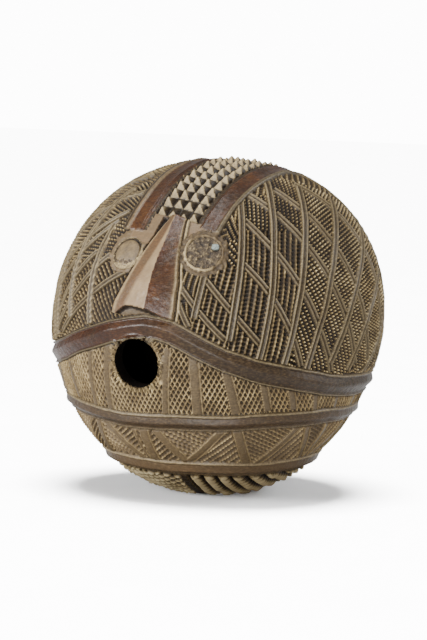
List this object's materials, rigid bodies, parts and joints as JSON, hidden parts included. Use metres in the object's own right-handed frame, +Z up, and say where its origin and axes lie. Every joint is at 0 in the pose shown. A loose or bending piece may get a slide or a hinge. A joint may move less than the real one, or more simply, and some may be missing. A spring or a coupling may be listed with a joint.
{
  "type": "maraca head",
  "caption": "Hollow ball-shaped rattle head carved with a mask-like face, a round mouth hole for a handle or stopper, and loose seeds inside.",
  "frame": {"origin": "centre of the flat foot that the ball stands on", "axes": "+Z up, the carved face looks towards -Y, +X to the viewer's right"},
  "size_m": [0.12, 0.1235, 0.122],
  "materials": {
    "shell": "carved dark shell, ground dusty and matt, bands worn to a satin red-brown",
    "resin": "rough pitted resin",
    "inlay": "smooth worn disc, satin",
    "chip": "pale broken chip",
    "seed": "hard smooth seed"
  },
  "bodies": {
    "shell": {"carved_shell": "shell", "eye_resin_left": "resin", "eye_disc_left": "inlay", "eye_resin_right": "resin", "eye_chip_right": "chip"},
    "seed_01": {"seed_01": "seed"},
    "seed_02": {"seed_02": "seed"},
    "seed_03": {"seed_03": "seed"},
    "seed_04": {"seed_04": "seed"},
    "seed_05": {"seed_05": "seed"},
    "seed_06": {"seed_06": "seed"},
    "seed_07": {"seed_07": "seed"},
    "seed_08": {"seed_08": "seed"},
    "seed_09": {"seed_09": "seed"},
    "seed_10": {"seed_10": "seed"},
    "seed_11": {"seed_11": "seed"},
    "seed_12": {"seed_12": "seed"},
    "seed_13": {"seed_13": "seed"},
    "seed_14": {"seed_14": "seed"},
    "seed_15": {"seed_15": "seed"},
    "seed_16": {"seed_16": "seed"},
    "seed_17": {"seed_17": "seed"},
    "seed_18": {"seed_18": "seed"},
    "seed_19": {"seed_19": "seed"}
  },
  "joints": [
    {"name": "seed_01_hop", "type": "slide", "parent": "shell", "child": "seed_01", "axis": [0, 0, 1], "range_m": [0, 0.1]},
    {"name": "seed_02_hop", "type": "slide", "parent": "shell", "child": "seed_02", "axis": [0, 0, 1], "range_m": [0, 0.1]},
    {"name": "seed_03_hop", "type": "slide", "parent": "shell", "child": "seed_03", "axis": [0, 0, 1], "range_m": [0, 0.1]},
    {"name": "seed_04_hop", "type": "slide", "parent": "shell", "child": "seed_04", "axis": [0, 0, 1], "range_m": [0, 0.1]},
    {"name": "seed_05_hop", "type": "slide", "parent": "shell", "child": "seed_05", "axis": [0, 0, 1], "range_m": [0, 0.1]},
    {"name": "seed_06_hop", "type": "slide", "parent": "shell", "child": "seed_06", "axis": [0, 0, 1], "range_m": [0, 0.1]},
    {"name": "seed_07_hop", "type": "slide", "parent": "shell", "child": "seed_07", "axis": [0, 0, 1], "range_m": [0, 0.1]},
    {"name": "seed_08_roll", "type": "hinge", "parent": "shell", "child": "seed_08", "pos_m": [0, 0, 0.06003], "axis": [-0.9659, -0.2588, 0], "range_deg": [0, 150]},
    {"name": "seed_09_roll", "type": "hinge", "parent": "shell", "child": "seed_09", "pos_m": [0, 0, 0.06003], "axis": [-0.7071, -0.7071, 0], "range_deg": [0, 150]},
    {"name": "seed_10_roll", "type": "hinge", "parent": "shell", "child": "seed_10", "pos_m": [0, 0, 0.06003], "axis": [-0.2588, -0.9659, 0], "range_deg": [0, 150]},
    {"name": "seed_11_roll", "type": "hinge", "parent": "shell", "child": "seed_11", "pos_m": [0, 0, 0.06003], "axis": [0.2588, -0.9659, 0], "range_deg": [0, 150]},
    {"name": "seed_12_roll", "type": "hinge", "parent": "shell", "child": "seed_12", "pos_m": [0, 0, 0.06003], "axis": [0.7071, -0.7071, 0], "range_deg": [0, 150]},
    {"name": "seed_13_roll", "type": "hinge", "parent": "shell", "child": "seed_13", "pos_m": [0, 0, 0.06003], "axis": [0.9659, -0.2588, 0], "range_deg": [0, 150]},
    {"name": "seed_14_roll", "type": "hinge", "parent": "shell", "child": "seed_14", "pos_m": [0, 0, 0.06003], "axis": [0.9659, 0.2588, 0], "range_deg": [0, 150]},
    {"name": "seed_15_roll", "type": "hinge", "parent": "shell", "child": "seed_15", "pos_m": [0, 0, 0.06003], "axis": [0.7071, 0.7071, 0], "range_deg": [0, 150]},
    {"name": "seed_16_roll", "type": "hinge", "parent": "shell", "child": "seed_16", "pos_m": [0, 0, 0.06003], "axis": [0.2588, 0.9659, 0], "range_deg": [0, 150]},
    {"name": "seed_17_roll", "type": "hinge", "parent": "shell", "child": "seed_17", "pos_m": [0, 0, 0.06003], "axis": [-0.2588, 0.9659, 0], "range_deg": [0, 150]},
    {"name": "seed_18_roll", "type": "hinge", "parent": "shell", "child": "seed_18", "pos_m": [0, 0, 0.06003], "axis": [-0.7071, 0.7071, 0], "range_deg": [0, 150]},
    {"name": "seed_19_roll", "type": "hinge", "parent": "shell", "child": "seed_19", "pos_m": [0, 0, 0.06003], "axis": [-0.9659, 0.2588, 0], "range_deg": [0, 150]}
  ]
}
